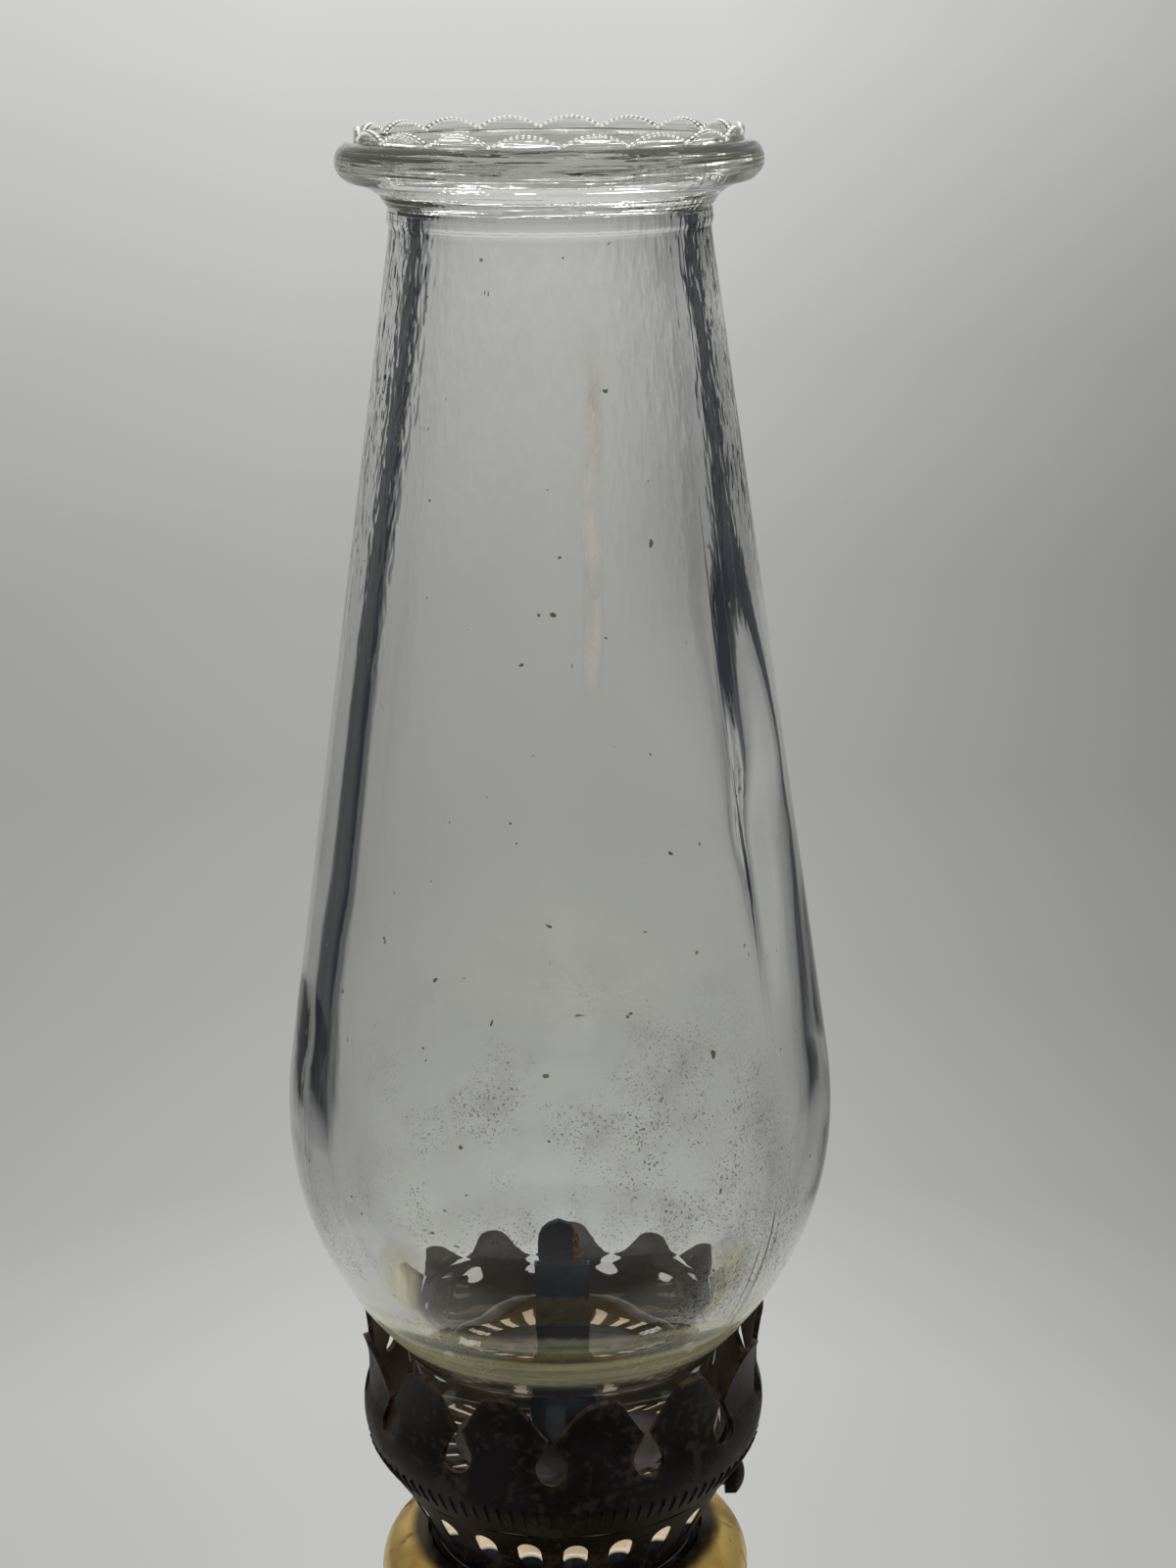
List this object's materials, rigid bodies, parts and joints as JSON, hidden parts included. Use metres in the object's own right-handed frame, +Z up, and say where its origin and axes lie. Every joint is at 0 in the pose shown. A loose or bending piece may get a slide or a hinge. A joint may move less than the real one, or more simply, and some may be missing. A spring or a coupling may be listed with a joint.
{
  "type": "oil lamp",
  "caption": "Small oil lamp: drum font on a domed foot, screw-in flat-wick burner with petalled crown and louvred basket, knob-raised wick, lift-off pressed-glass chimney",
  "frame": {"origin": "centre of the foot's resting ring, on the table", "axes": "+Z up along the lamp's axis, -Y the front that the wick's broad face looks to, +X towards the wick knob"},
  "size_m": [0.0612, 0.0612, 0.208],
  "materials": {
    "glass": "clear pressed glass, slightly sooted low down",
    "dark_brass": "dark tarnished sheet brass",
    "font_brass": "aged brass with brown tarnish spots",
    "wick": "woven cotton, charred at the top"
  },
  "bodies": {
    "font": {"font_collar": "font_brass", "font_upper_shell": "font_brass", "font_lower_shell": "font_brass", "stem_ring": "font_brass", "foot_shell": "font_brass", "base_plate": "font_brass"},
    "screw": {"burner_screw": "dark_brass"},
    "burner": {"crown_shell": "dark_brass", "air_plate": "dark_brass", "air_basket": "dark_brass", "burner_pan": "dark_brass", "wick_tube": "dark_brass", "raiser_bracket": "dark_brass", "spindle_bush": "dark_brass"},
    "winder": {"spindle": "dark_brass", "spur_wheel_left": "dark_brass", "spur_wheel_right": "dark_brass", "thumb_knob": "dark_brass"},
    "wick": {"wick": "wick"},
    "chimney": {"chimney_glass": "glass"}
  },
  "joints": [
    {"name": "burner_rise", "type": "slide", "parent": "font", "child": "screw", "axis": [0, 0, 1], "range_m": [0, 0.0054]},
    {"name": "burner_unscrew", "type": "hinge", "parent": "screw", "child": "burner", "pos_m": [0, 0, 0.0648], "axis": [0, 0, 1], "range_deg": [0, 1080]},
    {"name": "wick_wheel_turn", "type": "hinge", "parent": "burner", "child": "winder", "pos_m": [0, 0.00298, 0.0693], "axis": [-1, 0, 0], "range_deg": [-130, 160]},
    {"name": "wick_slide", "type": "slide", "parent": "burner", "child": "wick", "axis": [0, 0, 1], "range_m": [-0.0048, 0.006]},
    {"name": "chimney_lift", "type": "slide", "parent": "burner", "child": "chimney", "axis": [0, 0, 1], "range_m": [0, 0.045]}
  ],
  "couplings": [
    {"joint": "burner_rise", "follows": "burner_unscrew", "m_per_rad": 0.00028648},
    {"joint": "wick_wheel_turn", "follows": "wick_slide", "rad_per_m": 429.18}
  ]
}
